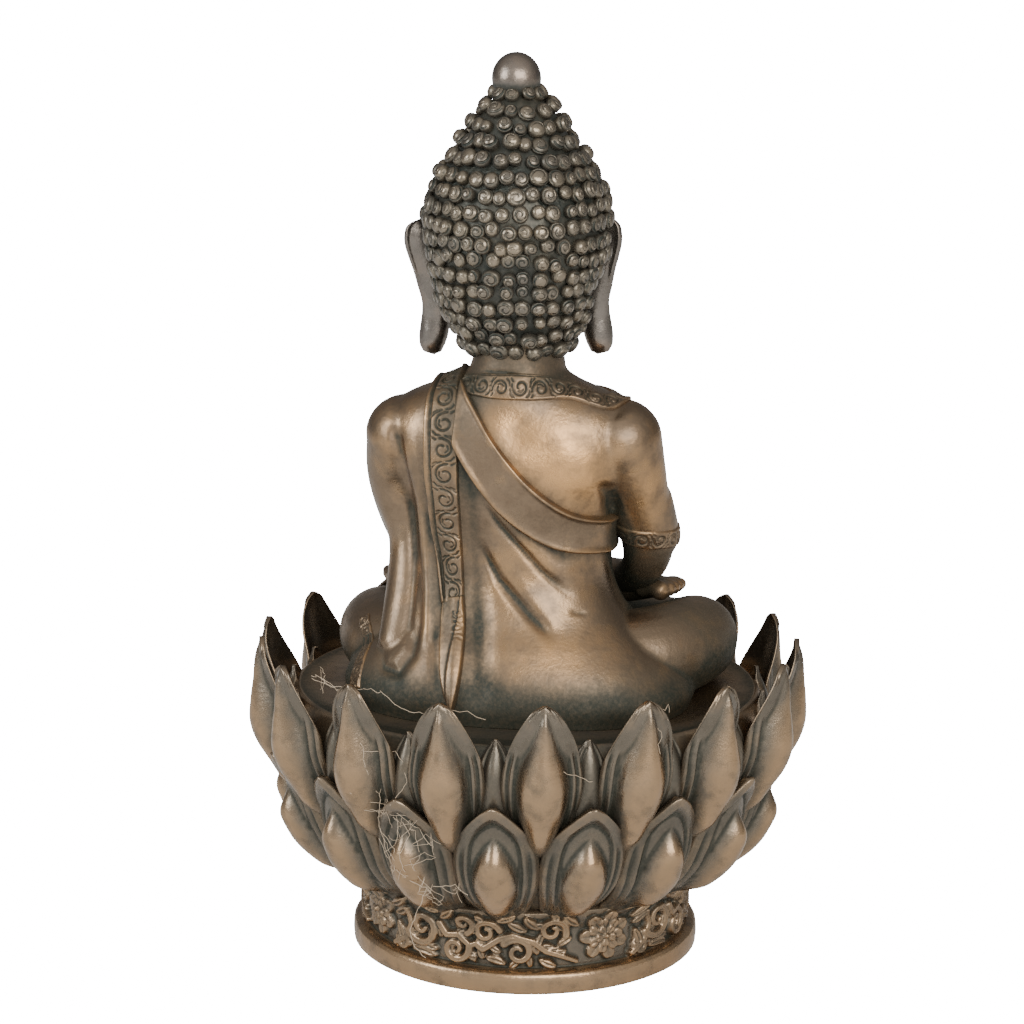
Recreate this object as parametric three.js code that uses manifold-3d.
// A seated bronze buddha on a double lotus throne, in two castings.
// Millimetres, +Z up. The figure faces -Y, and its left hand is on the +X side.
import * as THREE from 'three';
import { mergeVertices } from 'three/addons/utils/BufferGeometryUtils.js';
import Module from 'manifold-3d';

const wasm = await Module();
wasm.setup();

// Driving sizes of the throne
const FOOT_RADIUS = 88;
const FOOT_BAND_HEIGHT = 11;
const FOOT_WAIST_RADIUS = 81;
const FIRST_FLOWER_ANGLE = 0.63;
const FOOT_TOP_Z = 41;
const FOOT_DEPTH_RATIO = 0.96;
const LOTUS_DEPTH_RATIO = 0.92;
const SEAT_Z = 134;
const SEAT_RADIUS = 113;
const PETALS_PER_TIER = 17;
const UPPER_TIP_Z = 160;
const INNER_TIP_Z = 139;
const LOWER_TIP_Z = 108;

// Driving sizes of the figure
const BODY_X = 4;
const NECK_Y = 25;
const HEAD_Y = 18;
const HAIRLINE_Z = 392;
const NAPE_Z = 307;
const CROWN_Z = 431;
const CURL_ROWS = 14;
const CURLS_PER_ROW = 20;
const CURL_HEIGHT = 4.5;
const FINIAL_RADIUS = 11.4;
const FINIAL_Z = 438.4;

// General helpers
const { clamp, lerp, smoothstep } = THREE.MathUtils;

function throughPoints(points) {
  // A smooth function through [position, value] pairs
  const slopes = points.map((point, i) => {
    const before = points[Math.max(i - 1, 0)];
    const after = points[Math.min(i + 1, points.length - 1)];
    return (after[1] - before[1]) / (after[0] - before[0]);
  });
  return position => {
    const at = clamp(position, points[0][0], points[points.length - 1][0]);
    const i = clamp(points.findIndex(point => point[0] > at) - 1, -2, points.length - 2);
    const k = i < 0 ? (at <= points[0][0] ? 0 : points.length - 2) : i;
    const width = points[k + 1][0] - points[k][0];
    const s = (at - points[k][0]) / width;
    return (
      (1 + 2 * s) * (1 - s) ** 2 * points[k][1] +
      s * (1 - s) ** 2 * width * slopes[k] +
      s * s * (3 - 2 * s) * points[k + 1][1] -
      s * s * (1 - s) * width * slopes[k + 1]
    );
  };
}

function sharedVertices(geometry) {
  const plain = geometry.clone();
  plain.deleteAttribute('normal');
  plain.deleteAttribute('uv');
  return mergeVertices(plain, 1e-4);
}

function remap(standard, place) {
  // every vertex of a standard geometry moves to the place worked out for it
  const geometry = sharedVertices(standard);
  const position = geometry.attributes.position;
  const point = new THREE.Vector3();
  for (let i = 0; i < position.count; i += 1) {
    point.fromBufferAttribute(position, i);
    const moved = place(point);
    position.setXYZ(i, moved.x, moved.y, moved.z);
  }
  return geometry;
}

function toSolid(geometry) {
  const merged = geometry.attributes.uv || !geometry.index ? sharedVertices(geometry) : geometry;
  const solid = new wasm.Manifold(new wasm.Mesh({
    numProp: 3,
    vertProperties: merged.attributes.position.array,
    triVerts: new Uint32Array(merged.index.array),
  }));
  return solid.volume() < 0 ? toSolid(flipped(merged)) : solid;
}

function flipped(geometry) {
  const index = Array.from(geometry.index.array);
  for (let i = 0; i < index.length; i += 3) {
    [index[i], index[i + 1]] = [index[i + 1], index[i]];
  }
  geometry.setIndex(index);
  return geometry;
}

function toGeometry(solid) {
  const mesh = solid.getMesh();
  const positions = new Float32Array(mesh.numVert * 3);
  for (let i = 0; i < mesh.numVert; i += 1) {
    positions.set(mesh.vertProperties.subarray(i * mesh.numProp, i * mesh.numProp + 3), i * 3);
  }
  const geometry = new THREE.BufferGeometry();
  geometry.setAttribute('position', new THREE.BufferAttribute(positions, 3));
  geometry.setIndex(new THREE.BufferAttribute(new Uint32Array(mesh.triVerts), 1));
  geometry.computeVertexNormals();
  return geometry;
}

function joined(solids) {
  return solids.reduce((whole, solid) => whole.add(solid));
}

function ellipsoid(centre, radii, around = 14, up = 10) {
  const geometry = new THREE.SphereGeometry(1, around, up);
  geometry.rotateX(Math.PI / 2);
  geometry.scale(...radii);
  geometry.translate(...centre);
  return toSolid(geometry);
}

const UP = new THREE.Vector3(0, 0, 1);
const BACKWARDS = new THREE.Vector3(0, 1, 0);

function limb(stations, sides = 8, rings = 5, flatTowards = UP) {
  // A rounded limb through stations of [x, y, z, half width, half thickness],
  // whose thickness is measured towards the given direction
  const path = new THREE.CatmullRomCurve3(stations.map(s => new THREE.Vector3(s[0], s[1], s[2])));
  const width = throughPoints(stations.map((s, i) => [i / (stations.length - 1), s[3]]));
  const thickness = throughPoints(stations.map((s, i) => [i / (stations.length - 1), s[4] ?? s[3]]));
  const geometry = new THREE.SphereGeometry(1, sides, rings + 4);
  return toSolid(remap(geometry, point => {
    const polar = Math.acos(clamp(point.y, -1, 1)) / Math.PI;
    const along = clamp((polar * (rings + 4) - 2) / rings, 0, 1);
    const centre = path.getPoint(along);
    const forward = path.getTangent(along);
    const side = new THREE.Vector3().crossVectors(forward, flatTowards).normalize();
    const up = new THREE.Vector3().crossVectors(side, forward);
    // the last two rings at each end close the limb as a round cap
    const beyond = (polar * (rings + 4) - 2) / 2 - along * rings / 2;
    const reach = Math.min(width(along), thickness(along)) * clamp(beyond, -1, 1) * 0.9;
    const shrink = Math.sqrt(Math.max(0, 1 - clamp(beyond, -1, 1) ** 2));
    const angle = Math.atan2(point.z, point.x);
    return centre
      .addScaledVector(forward, reach)
      .addScaledVector(side, Math.cos(angle) * width(along) * shrink)
      .addScaledVector(up, Math.sin(angle) * thickness(along) * shrink);
  }));
}

// Torso, neck and hips, as one loft of rounded sections by height
const torso = {
  centreX: throughPoints([[134, 0], [180, 2], [212, 3], [228, 5], [260, 4.5], [300, 4.5]]),
  halfWidth: throughPoints([
    [134, 84], [142, 87], [155, 80], [168, 66], [180, 54], [195, 47.5], [210, 46.5], [225, 49],
    [240, 54], [255, 62], [268, 66], [279, 63], [288, 49], [295, 32], [301, 24], [310, 22.8], [325, 22.8],
  ]),
  back: throughPoints([
    [134, 79], [142, 80], [155, 77], [168, 70], [180, 62], [195, 56], [210, 54.5], [225, 56],
    [240, 59], [255, 60], [268, 58], [279, 55], [288, 52], [295, 50], [301, 48], [310, 47], [325, 46],
  ]),
  front: throughPoints([
    [134, -40], [155, -34], [180, -20], [195, -18], [210, -17], [225, -17],
    [240, -17], [255, -15], [268, -11], [279, -6], [288, -3], [295, -3], [301, -4], [325, -6],
  ]),
};

function torsoPoint(angle, z, lift = 0) {
  // angle 0 looks along +X, a quarter turn along +Y, which is the back
  const power = lerp(2.5, 2.1, smoothstep(z, 180, 300));
  const cos = Math.cos(angle);
  const sin = Math.sin(angle);
  const centreY = (torso.back(z) + torso.front(z)) / 2;
  const halfDepth = (torso.back(z) - torso.front(z)) / 2;
  return new THREE.Vector3(
    torso.centreX(z) + (torso.halfWidth(z) + lift) * Math.sign(cos) * Math.abs(cos) ** (2 / power),
    centreY + (halfDepth + lift) * Math.sign(sin) * Math.abs(sin) ** (2 / power),
    z,
  );
}

function backPoint(x, z, lift) {
  // the point of the back at this x and height
  const power = lerp(2.5, 2.1, smoothstep(z, 180, 300));
  const across = clamp((x - torso.centreX(z)) / (torso.halfWidth(z) + lift), -0.999, 0.999);
  const angle = Math.acos(Math.sign(across) * Math.abs(across) ** (power / 2));
  return torsoPoint(angle, z, lift).setX(x);
}

function makeTorso() {
  const bottom = SEAT_Z;
  const top = 330;
  const geometry = new THREE.CylinderGeometry(1, 1, 1, 20, 13);
  return toSolid(remap(geometry, point => {
    const z = lerp(bottom, top, point.y + 0.5);
    const rim = torsoPoint(Math.atan2(point.z, point.x), z);
    const onAxis = Math.hypot(point.x, point.z) < 0.5;
    return onAxis ? new THREE.Vector3(torso.centreX(z), NECK_Y, z) : rim;
  }));
}

// Robe bands and folds that lie on the back
function backBand(line, thickness, steps = 8) {
  // line holds stations of [x, z, half width]; the band lies along it, square to its run
  const run = line.map((s, i) => i / (line.length - 1));
  const x = throughPoints(line.map((s, i) => [run[i], s[0]]));
  const z = throughPoints(line.map((s, i) => [run[i], s[1]]));
  const half = throughPoints(line.map((s, i) => [run[i], s[2]]));
  const geometry = new THREE.BoxGeometry(1, 1, 1, steps, 2, 1);
  return toSolid(remap(geometry, point => {
    const t = point.x + 0.5;
    const direction = new THREE.Vector2(x(t + 0.02) - x(t - 0.02), z(t + 0.02) - z(t - 0.02)).normalize();
    const across = point.y * 2 * half(t);
    const lift = point.z > 0 ? thickness : -3;
    return backPoint(x(t) - direction.y * across, z(t) + direction.x * across, lift);
  }));
}

function makeRobe() {
  const stole = backBand([[34.5, 294, 8], [35, 275, 9], [33.5, 245, 8.6], [31, 215, 7.6], [29, 190, 6.3]], 3);
  const stoleEnd = backBand([[29, 192, 6], [27.5, 178, 6.2], [26, 160, 4.6], [25, 142, 1]], 4, 5);
  const collar = backBand(
    [[27, 296, 4], [10, 295, 6], [-6, 294.5, 6.8], [-22, 295, 5], [-34, 292, 2.5]], 2.6,
  );
  const sash = backBand(
    [[26, 283, 4], [16, 264, 9.5], [-3, 241, 11], [-22, 227, 10.5], [-46, 221.5, 9]], 3.8,
  );
  const foldOne = backBand([[21, 244, 2], [5, 225, 3.2], [-13, 205, 2.8], [-30, 192, 0.6]], 2.2, 6);
  const foldTwo = backBand([[19, 219, 2], [5, 199, 3.8], [-10, 184, 3.8], [-26, 172, 0.6]], 2.6, 6);
  const sleeve = limb([
    [56, 25, 262, 18, 18], [59, 20, 238, 15.5, 15], [55.5, 20, 214, 12, 14], [53, 29, 194, 11, 12],
    [53, 41, 174, 10, 9.5], [55, 48, 163, 8, 7],
  ], 8, 6, BACKWARDS);
  const sideCloth = limb([
    [44, 26, 252, 14, 20], [43, 27, 225, 11, 17], [41, 32, 195, 10, 16], [38, 44, 158, 14, 17],
  ], 8, 3, BACKWARDS);
  const cuff = limb([[-58, 14, 231, 15.5], [-61, 7, 218, 14.3]], 8, 2);
  return [stole, stoleEnd, collar, sash, foldOne, foldTwo, sleeve, sideCloth, cuff];
}

// Arms and the hands lying in the lap
function makeArms() {
  const right = limb([
    [-51, 27, 266, 18], [-55, 19, 242, 15], [-60.5, 5, 209, 12.5], [-50, -20, 187, 9], [-22, -47, 183, 7.5],
  ], 8, 7);
  const rightShoulder = ellipsoid([-42, 27, 258], [23, 18.5, 27], 10, 7);
  const left = limb([
    [61, 14, 240, 14], [54, 4, 208, 13], [46, -24, 192, 11.5], [24, -48, 184, 8],
  ], 8, 5);
  const leftShoulder = ellipsoid([52, 26, 256], [23, 19, 28], 10, 7);
  const lowerPalm = limb([[22, -50, 180.5, 9, 4], [0, -58, 178.5, 10, 4.5], [-26, -56, 178.5, 7, 3.5]], 6, 3);
  const upperPalm = limb([[-22, -50, 187, 9, 4], [0, -57, 186.5, 10, 4.5], [26, -55, 186, 7, 3.5]], 6, 3);
  const thumbs = [-1, 1].map(side =>
    limb([[side * 18, -46, 191, 3.6], [side * 9, -51, 197, 3], [side * 1, -53, 198, 2.6]], 5, 2));
  return [right, rightShoulder, left, leftShoulder, lowerPalm, upperPalm, ...thumbs];
}

// Crossed legs under the robe, each sole turned up on the other thigh
function makeLegs() {
  const rightThigh = limb([[-30, 34, 156, 22], [-66, 16, 157, 23], [-82, -12, 157, 22], [-80, -40, 153, 17]]);
  const leftThigh = limb([[34, 34, 156, 22], [64, 14, 155, 22], [77, -14, 154, 21], [74, -42, 151, 17]]);
  const rightShin = limb([[-78, -38, 152, 17], [-48, -60, 150, 16], [-8, -68, 149, 14], [26, -60, 152, 11]]);
  const leftShin = limb([[72, -40, 151, 17], [46, -60, 151, 15], [10, -64, 158, 13], [-24, -50, 165, 10]]);
  const leftFoot = limb([
    [-20, -50, 167, 9, 8], [-42, -36, 174, 10.5, 6.5], [-62, -20, 180, 10, 5], [-71, -12, 182, 7, 3.6],
  ], 6, 4);
  const rightFoot = limb([
    [24, -52, 164, 9, 8], [46, -36, 172, 10.5, 6.5], [66, -18, 178, 10, 5], [74, -9, 181, 7, 3.6],
  ], 6, 4);
  const lapCloth = new THREE.CylinderGeometry(1, 1, 1, 16, 1);
  const cloth = toSolid(remap(lapCloth, point => {
    const spread = 1 - 0.06 * (point.y + 0.5) ** 2;
    return new THREE.Vector3(
      -2 + 92 * spread * point.x,
      -14 + 66 * spread * point.z,
      lerp(SEAT_Z, 149, point.y + 0.5),
    );
  }));
  return [rightThigh, leftThigh, rightShin, leftShin, leftFoot, rightFoot, cloth];
}

// Head, ears, face and the rows of hair curls
const hair = {
  halfWidth: throughPoints([
    [NAPE_Z - 3, 17], [312, 24.5], [320, 29.5], [332, 34.8], [347, 39], [358, 41.3], [368, 42.2],
    [378, 41.4], [387, 38.6], [396, 34], [406, 27.5], [415, 21.5], [424, 16], [CROWN_Z, 7],
  ]),
  depthRatio: 1.06,
};

function hairRing(row) {
  // A ring of alternating curl tops and hollows, smaller towards the crown
  const z = lerp(NAPE_Z, CROWN_Z - 4, row / (CURL_ROWS - 1));
  const radius = hair.halfWidth(z);
  const slope = (hair.halfWidth(z + 4) - hair.halfWidth(z - 4)) / 8;
  const curl = CURL_HEIGHT * lerp(1, 0.4, smoothstep(z, 385, CROWN_Z));
  return Array.from({ length: 2 * CURLS_PER_ROW }, (unused, i) => {
    const angle = i * Math.PI / CURLS_PER_ROW;
    const overFace = 1 - smoothstep(z, HAIRLINE_Z - 6, HAIRLINE_Z + 4);
    const front = smoothstep(-Math.sin(angle), 0.45, 0.75) * overFace;
    const lift = ((i + row) % 2 === 0 ? curl : 0) * (1 - front) - 9 * front;
    return new THREE.Vector3(
      BODY_X + (radius + lift) * Math.cos(angle),
      HEAD_Y + (radius * hair.depthRatio + lift) * Math.sin(angle),
      z - slope * lift * 0.6,
    );
  });
}

function betweenRings(lower, upper, row) {
  // Triangles whose shared edges run through the hollows, so that every curl is a peak
  return lower.flatMap((corner, i) => {
    const next = (i + 1) % lower.length;
    return (i + row) % 2 === 0
      ? [corner, lower[next], upper[i], upper[i], lower[next], upper[next]]
      : [corner, lower[next], upper[next], corner, upper[next], upper[i]];
  });
}

function fanned(ring, tip) {
  return ring.flatMap((point, i) => [tip, point, ring[(i + 1) % ring.length]]);
}

function makeHair() {
  const rings = Array.from({ length: CURL_ROWS }, (unused, row) => hairRing(row));
  const triangles = rings.slice(1).flatMap((ring, row) => betweenRings(rings[row], ring, row));
  const crown = new THREE.Vector3(BODY_X, HEAD_Y, CROWN_Z);
  const nape = new THREE.Vector3(BODY_X, HEAD_Y, NAPE_Z - 2);
  const closing = [...fanned([...rings[0]].reverse(), nape), ...fanned(rings[CURL_ROWS - 1], crown)];
  const geometry = new THREE.BufferGeometry().setFromPoints([...triangles, ...closing]);
  return toSolid(geometry);
}

// Heights of the face's rows over its middle, closest round the mouth, nose and eyes
const FACE_ROWS = [
  -45, -42.5, -38.5, -34, -30.5, -28, -25.2, -22.5, -18.5, -13.5, -9, -3, 2, 5.5, 9, 12, 17, 21, 28, 37, 45,
];

function makeFace() {
  const centre = new THREE.Vector3(BODY_X, HEAD_Y - 20, 350);
  const bump = (x, z, atX, atZ, wide, high) =>
    Math.exp(-(((Math.abs(x) - atX) / wide) ** 2) - ((z - atZ) / high) ** 2);
  const noseHeight = throughPoints([[-19, 0], [-13, 3], [-9, 10.5], [-2, 8.5], [6, 6], [14, 3.5], [24, 0]]);
  const mouthRows = throughPoints([[-34, 0], [-30.5, 1], [-28, 3.2], [-25.2, 0.4], [-22.5, 3.2], [-18.5, 0]]);
  const geometry = new THREE.SphereGeometry(1, 26, FACE_ROWS.length - 1);
  geometry.rotateX(Math.PI / 2);
  return toSolid(remap(geometry, point => {
    const row = Math.round(Math.acos(clamp(-point.z, -1, 1)) / Math.PI * (FACE_ROWS.length - 1));
    const z = FACE_ROWS[row];
    const reach = Math.sqrt(1 - (z / 45) ** 2);
    // columns stand closer together at the front of the face
    const turn = Math.atan2(point.x, -point.y);
    const angle = turn - 0.45 * Math.sin(turn);
    const narrow = 1 - 0.17 * clamp(-z / 45, 0, 1) ** 1.6;
    const x = 36 * narrow * reach * Math.sin(angle);
    let out = 29 * reach * Math.cos(angle);
    if (Math.cos(angle) > 0.2) {
      out += noseHeight(z) * Math.exp(-((x / 4.2) ** 2));
      out += 3 * bump(x, z, 5, -11, 3, 3);
      out += mouthRows(z) * Math.exp(-((x / 9) ** 4));
      out -= 3.5 * bump(x, z, 15, 11.5, 11, 4);
      out += 4.5 * bump(x, z, 15.5, 5, 8.5, 4.5);
      out += 1.8 * bump(x, z, 15, 19.5, 13, 3);
      out += 4 * bump(x, z, 0, -38.5, 8, 5);
    }
    return new THREE.Vector3(centre.x + x, centre.y - out, centre.z + z);
  }));
}

function makeEar(side, outwards) {
  const at = (x, y, z) => [BODY_X + side * (x + outwards), HEAD_Y + y, z];
  const rim = limb([
    [...at(43, -19, 370), 3.4], [...at(47, -13, 362), 4.2], [...at(46, -10, 350), 3.8],
    [...at(42.5, -12, 334), 3.4], [...at(41.5, -14, 320), 4.6], [...at(40, -15, 309), 5.6],
  ], 6, 5);
  const bowl = limb([
    [...at(41, -23, 364), 3, 8], [...at(41, -21, 348), 3, 9], [...at(38, -19, 326), 3, 6],
    [...at(39, -18, 310), 4, 5],
  ], 6, 2);
  return rim.add(bowl);
}

function makeFinial() {
  const radii = [FINIAL_RADIUS, FINIAL_RADIUS, FINIAL_RADIUS + 0.6];
  return ellipsoid([BODY_X + 1, HEAD_Y, FINIAL_Z], radii, 10, 7);
}

function makeFigure() {
  // The underside is cut flat where the figure rests on the seat
  const belowSeat = new THREE.BoxGeometry(300, 300, 60);
  belowSeat.translate(0, 0, SEAT_Z - 30);
  return joined([
    makeTorso(),
    ...makeRobe(),
    ...makeArms(),
    ...makeLegs(),
    makeHair(),
    makeFace(),
    makeEar(1, 3),
    makeEar(-1, 0),
    makeFinial(),
  ]).subtract(toSolid(belowSeat));
}

// Two tiers of petals, each with an edge that rises to a point at every petal
const COLUMNS_PER_PETAL = 4;
const PETAL_STEP = 2 * Math.PI / PETALS_PER_TIER;
const upperTier = {
  radius: throughPoints([
    [80, 112], [95, 123], [108, 133], [120, 139], [135, 140], [150, 138], [UPPER_TIP_Z, 134],
  ]),
  valley: 121,
  tip: UPPER_TIP_Z,
  offset: 0,
};
const lowerTier = {
  radius: throughPoints([[37, 88], [44, 99], [52, 110], [62, 119], [76, 126], [92, 130], [LOWER_TIP_Z, 131]]),
  valley: 80,
  tip: LOWER_TIP_Z,
  offset: 0.5,
};

function acrossPetal(tier, angle) {
  // 0 on a petal's middle line, 1 where it meets its neighbour
  const phase = angle / PETAL_STEP + tier.offset + PETALS_PER_TIER;
  return 2 * Math.abs(phase - Math.floor(phase) - 0.5);
}

function petalEdge(tier, angle) {
  return lerp(tier.valley, tier.tip, 1 - acrossPetal(tier, angle) ** 1.5);
}

function petalFace(tier, angle, z, v) {
  // the outer face swells along the petal's middle and sinks towards its neighbours
  const swell = Math.sin(Math.PI * Math.min(v, 0.94)) ** 0.7;
  return tier.radius(z) - 4 + lerp(4.5, -8, smoothstep(acrossPetal(tier, angle), 0.12, 1)) * swell;
}

const lowerFaceRow = v => angle => {
  const z = lerp(FOOT_TOP_Z - 4, petalEdge(lowerTier, angle), v);
  return [petalFace(lowerTier, angle, z, v), z];
};

function lowerLedge(angle) {
  return petalEdge(lowerTier, angle) - 14 * (1 - acrossPetal(lowerTier, angle)) - 1;
}

const upperFaceRow = v => angle => {
  const z = lerp(lowerLedge(angle), petalEdge(upperTier, angle), v);
  return [petalFace(upperTier, angle, z, 0.2 + 0.8 * v), z];
};

const EDGE_THICKNESS = 2.6;

// The throne's profile from the middle of its underside to the middle of its seat
const throneRows = [
  () => [FOOT_RADIUS, 0],
  () => [FOOT_RADIUS, FOOT_BAND_HEIGHT - 2],
  () => [FOOT_RADIUS - 2, FOOT_BAND_HEIGHT],
  () => [FOOT_WAIST_RADIUS + 1, FOOT_BAND_HEIGHT],
  () => [FOOT_WAIST_RADIUS, FOOT_TOP_Z - 4],
  lowerFaceRow(0.08),
  lowerFaceRow(0.38),
  lowerFaceRow(0.72),
  lowerFaceRow(1),
  angle => [lowerFaceRow(1)(angle)[0] - EDGE_THICKNESS, petalEdge(lowerTier, angle)],
  angle => [lowerFaceRow(1)(angle)[0] - 4, lowerLedge(angle)],
  upperFaceRow(0),
  upperFaceRow(0.3),
  upperFaceRow(0.65),
  upperFaceRow(1),
  angle => [upperFaceRow(1)(angle)[0] - EDGE_THICKNESS, petalEdge(upperTier, angle)],
  () => [SEAT_RADIUS, SEAT_Z],
];

function onThrone(angle, radius, z) {
  const depthRatio = lerp(FOOT_DEPTH_RATIO, LOTUS_DEPTH_RATIO, smoothstep(z, FOOT_TOP_Z - 8, 60));
  return new THREE.Vector3(-radius * Math.sin(angle), radius * Math.cos(angle) * depthRatio, z);
}

function makeThroneBody() {
  const last = throneRows.length + 1;
  const profile = Array.from({ length: last + 1 }, (unused, i) => {
    return new THREE.Vector2(i % last === 0 ? 0 : 1, i);
  });
  const lathe = new THREE.LatheGeometry(profile, PETALS_PER_TIER * COLUMNS_PER_PETAL);
  return toSolid(remap(lathe, point => {
    const row = Math.round(point.y);
    if (row === 0 || row === last) {
      return new THREE.Vector3(0, 0, row === 0 ? 0 : SEAT_Z);
    }
    const angle = Math.atan2(point.x, point.z);
    return onThrone(angle, ...throneRows[row - 1](angle));
  }));
}

function makeInnerTip(angle) {
  const geometry = new THREE.ConeGeometry(1, 1, 5, 1);
  return toSolid(remap(geometry, point =>
    onThrone(angle + point.x * 0.075, 115 + 4 * point.z, lerp(118, INNER_TIP_Z, point.y + 0.5))));
}

// Carved band round the foot: flowers with scrolls of foliage between them
function onFoot(angle, z, lift) {
  return onThrone(angle, FOOT_WAIST_RADIUS + 0.5 + lift, z);
}

function makeFlower(centreAngle, centreZ, size) {
  const petals = 7;
  const geometry = new THREE.CylinderGeometry(1, 1, 1, petals * 2, 1);
  const star = toSolid(remap(geometry, point => {
    const turn = Math.atan2(point.z, point.x);
    const reach = Math.hypot(point.x, point.z) < 0.5 ? 0 : 1;
    const lobe = Math.round(turn / (Math.PI / petals)) % 2 === 0 ? 1 : 0.62;
    const across = reach * lobe * size * Math.cos(turn);
    const up = reach * lobe * size * Math.sin(turn) * 0.85;
    const lift = point.y > 0 ? 3.2 : -3;
    return onFoot(centreAngle + across / FOOT_WAIST_RADIUS, centreZ + up, lift);
  }));
  const eye = ellipsoid(onFoot(centreAngle, centreZ, 3).toArray(), [3.4, 3.4, 3.4], 6, 3);
  return star.add(eye);
}

function makeScroll(centreAngle, direction, side) {
  // a tapering band that runs along the foot and winds into a spiral
  const geometry = new THREE.BoxGeometry(1, 1, 1, 7, 1, 1);
  return toSolid(remap(geometry, point => {
    const t = point.x + 0.5;
    const turn = side * (0.4 + 1.55 * Math.PI * t);
    const reach = lerp(12.5, 3.2, t ** 0.8);
    const width = lerp(2.2, 1.3, t) * point.y * 2;
    const across = direction * ((reach + width) * Math.cos(turn) - 2);
    const up = (reach + width) * Math.sin(turn) * 0.95;
    const lift = point.z > 0 ? 2.6 : -3;
    return onFoot(centreAngle + across / FOOT_WAIST_RADIUS, 25.5 + up, lift);
  }));
}

function makeLeaf(centreAngle, z, tilt, length) {
  const geometry = new THREE.OctahedronGeometry(1, 0);
  return toSolid(remap(geometry, point => {
    const across = length * point.x * Math.cos(tilt) - 3 * point.y * Math.sin(tilt);
    const up = length * point.x * Math.sin(tilt) + 3 * point.y * Math.cos(tilt);
    return onFoot(centreAngle + across / FOOT_WAIST_RADIUS, z + up, 2.6 * point.z);
  }));
}

function makeFootCarving() {
  const quarters = [0, 1, 2, 3].map(i => i * Math.PI / 2 + FIRST_FLOWER_ANGLE);
  return quarters.flatMap(angle => [
    makeFlower(angle, 26, 13.5),
    makeScroll(angle + 0.55, 1, 1),
    makeScroll(angle + 1.02, -1, -1),
    makeLeaf(angle + 0.78, 17, -0.5, 8),
  ]);
}

function makeThrone() {
  const innerTips = Array.from({ length: PETALS_PER_TIER }, (unused, i) => makeInnerTip(i * PETAL_STEP));
  return joined([makeThroneBody(), ...innerTips, ...makeFootCarving()]);
}

// The two castings
function casting(name, solid, colour) {
  const material = new THREE.MeshStandardMaterial({ color: colour, roughness: 0.42, metalness: 0.85 });
  const mesh = new THREE.Mesh(toGeometry(solid), material);
  mesh.name = name;
  return mesh;
}

const statue = new THREE.Group();
statue.add(casting('figure', makeFigure(), 0x8a6446));
statue.add(casting('lotus_throne', makeThrone(), 0x6f5a50));

export default statue;
